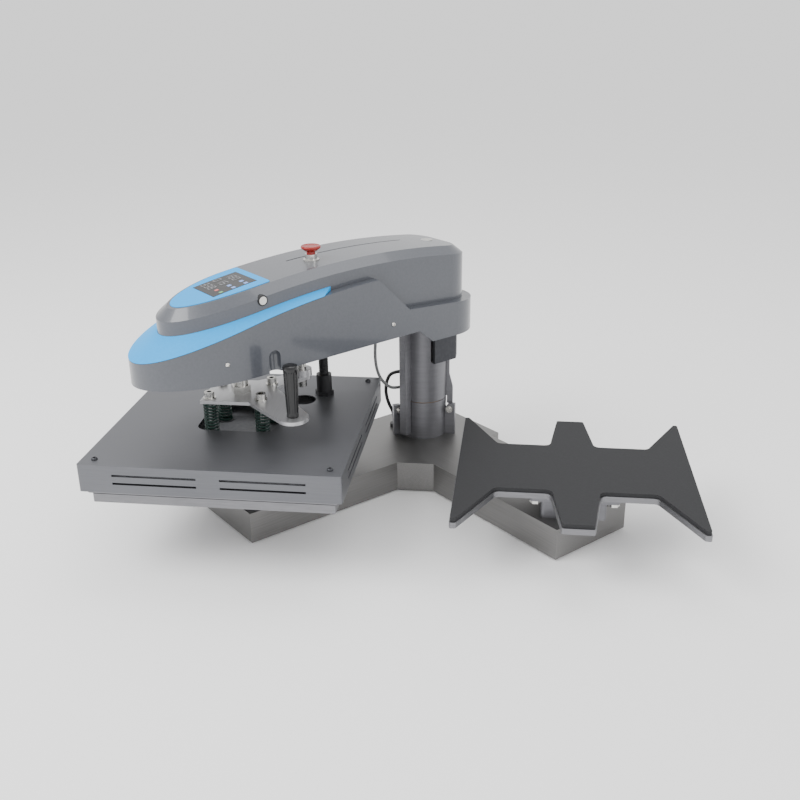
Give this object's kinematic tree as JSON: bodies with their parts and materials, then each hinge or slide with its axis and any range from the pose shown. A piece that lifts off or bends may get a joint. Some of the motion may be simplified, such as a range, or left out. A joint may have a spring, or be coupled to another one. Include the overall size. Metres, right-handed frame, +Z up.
{
  "type": "heat press",
  "caption": "Swing-away pneumatic heat press with a turning head over a V-shaped base that carries a flat platen and a notched shirt platen.",
  "frame": {"origin": "where the swing column's axis meets the table, on the underside of the centre foot", "axes": "+X to the right station, +Y away from the user, +Z up"},
  "size_m": [0.9924, 0.6331, 0.4874],
  "materials": {
    "chassis_steel": "brushed sheet steel",
    "column_steel": "satin turned steel",
    "dark_steel": "dark painted steel",
    "bright_steel": "bright plated steel",
    "bracket_steel": "laser-cut plated steel",
    "bearing_bronze": "sintered bronze",
    "cast_aluminium": "machined",
    "silicone_pad": "matte grey silicone sponge",
    "foot_rubber": "matte",
    "cover_steel": "satin sheet steel",
    "shell_silver": "silver gloss paint",
    "trim_blue": "blue gloss",
    "display_black": "smoked window",
    "board_green": "solder mask",
    "black_plastic": "matte",
    "fitting_brass": "nickel-plated brass",
    "button_metal": "satin metal",
    "stop_red": "red",
    "spring_green": "dark green enamel",
    "blanket_white": "ceramic fibre",
    "tube_grey": "translucent grey polyurethane"
  },
  "bodies": {
    "base": {"chassis_shell": "chassis_steel", "chassis_floor": "chassis_steel", "rubber_feet": "foot_rubber", "mains_inlet_gland": "black_plastic", "air_inlet_fitting": "fitting_brass", "column_post": "column_steel", "column_collar": "column_steel", "thrust_washer": "bearing_bronze", "post_cap": "column_steel", "stop_lugs": "column_steel", "stop_bolts": "bright_steel", "left_pedestal": "column_steel", "right_pedestal": "column_steel", "receiver_plates": "column_steel", "receiver_bolts": "bright_steel", "left_platen": "cast_aluminium", "left_pad": "silicone_pad", "shirt_platen": "cast_aluminium", "shirt_pad": "silicone_pad", "column_cable_gland": "black_plastic", "column_cable": "black_plastic"},
    "head": {"swing_tube": "column_steel", "swing_bushes": "bearing_bronze", "stop_bar": "column_steel", "head_clamp_block": "dark_steel", "head_beam": "column_steel", "guide_bush": "bearing_bronze", "air_cylinder": "cast_aluminium", "solenoid_valve": "black_plastic", "heater_relay": "black_plastic", "lower_shell": "shell_silver", "upper_shell": "shell_silver", "ledge_trim": "trim_blue", "console_panel": "trim_blue", "display_window": "display_black", "control_board": "board_green", "estop_housing": "bright_steel", "start_button_ring": "black_plastic", "shell_screws": "bright_steel", "top_plug": "bright_steel", "air_tube": "tube_grey", "air_tube_fitting": "fitting_brass"},
    "carriage": {"piston_rod": "bright_steel", "rod_nuts": "bright_steel", "guide_rod": "bright_steel", "guide_rod_collar": "bracket_steel", "spring_bracket": "bracket_steel", "spring_washers": "bright_steel", "pull_handle": "black_plastic", "handle_screw": "bright_steel", "die_springs": "spring_green"},
    "hot_plate": {"heating_plate": "cast_aluminium", "insulation_blanket": "blanket_white", "heat_cover": "cover_steel", "cover_screws": "black_plastic", "cover_gland": "black_plastic", "spring_bolts": "bright_steel", "heater_conduit": "black_plastic"},
    "estop": {"estop_button": "stop_red"},
    "start": {"start_button": "button_metal"}
  },
  "joints": [
    {"name": "head_swing", "type": "hinge", "parent": "base", "child": "head", "pos_m": [0, 0, 0.2], "axis": [0, 0, 1], "range_deg": [0, 90], "deforming": ["column_cable"]},
    {"name": "press_stroke", "type": "slide", "parent": "head", "child": "carriage", "axis": [0, 0, 1], "range_m": [0, 0.045]},
    {"name": "plate_float", "type": "slide", "parent": "carriage", "child": "hot_plate", "axis": [0, 0, 1], "range_m": [0, 0.004], "stiffness_N_per_m": 40000, "springref_m": -0.002, "deforming": ["die_springs"]},
    {"name": "estop_press", "type": "slide", "parent": "head", "child": "estop", "axis": [0, 0, -1], "range_m": [0, 0.004]},
    {"name": "start_press", "type": "slide", "parent": "head", "child": "start", "axis": [-0.7071, 0.7071, 0], "range_m": [0, 0.002], "stiffness_N_per_m": 600, "springref_m": -0.0005}
  ]
}
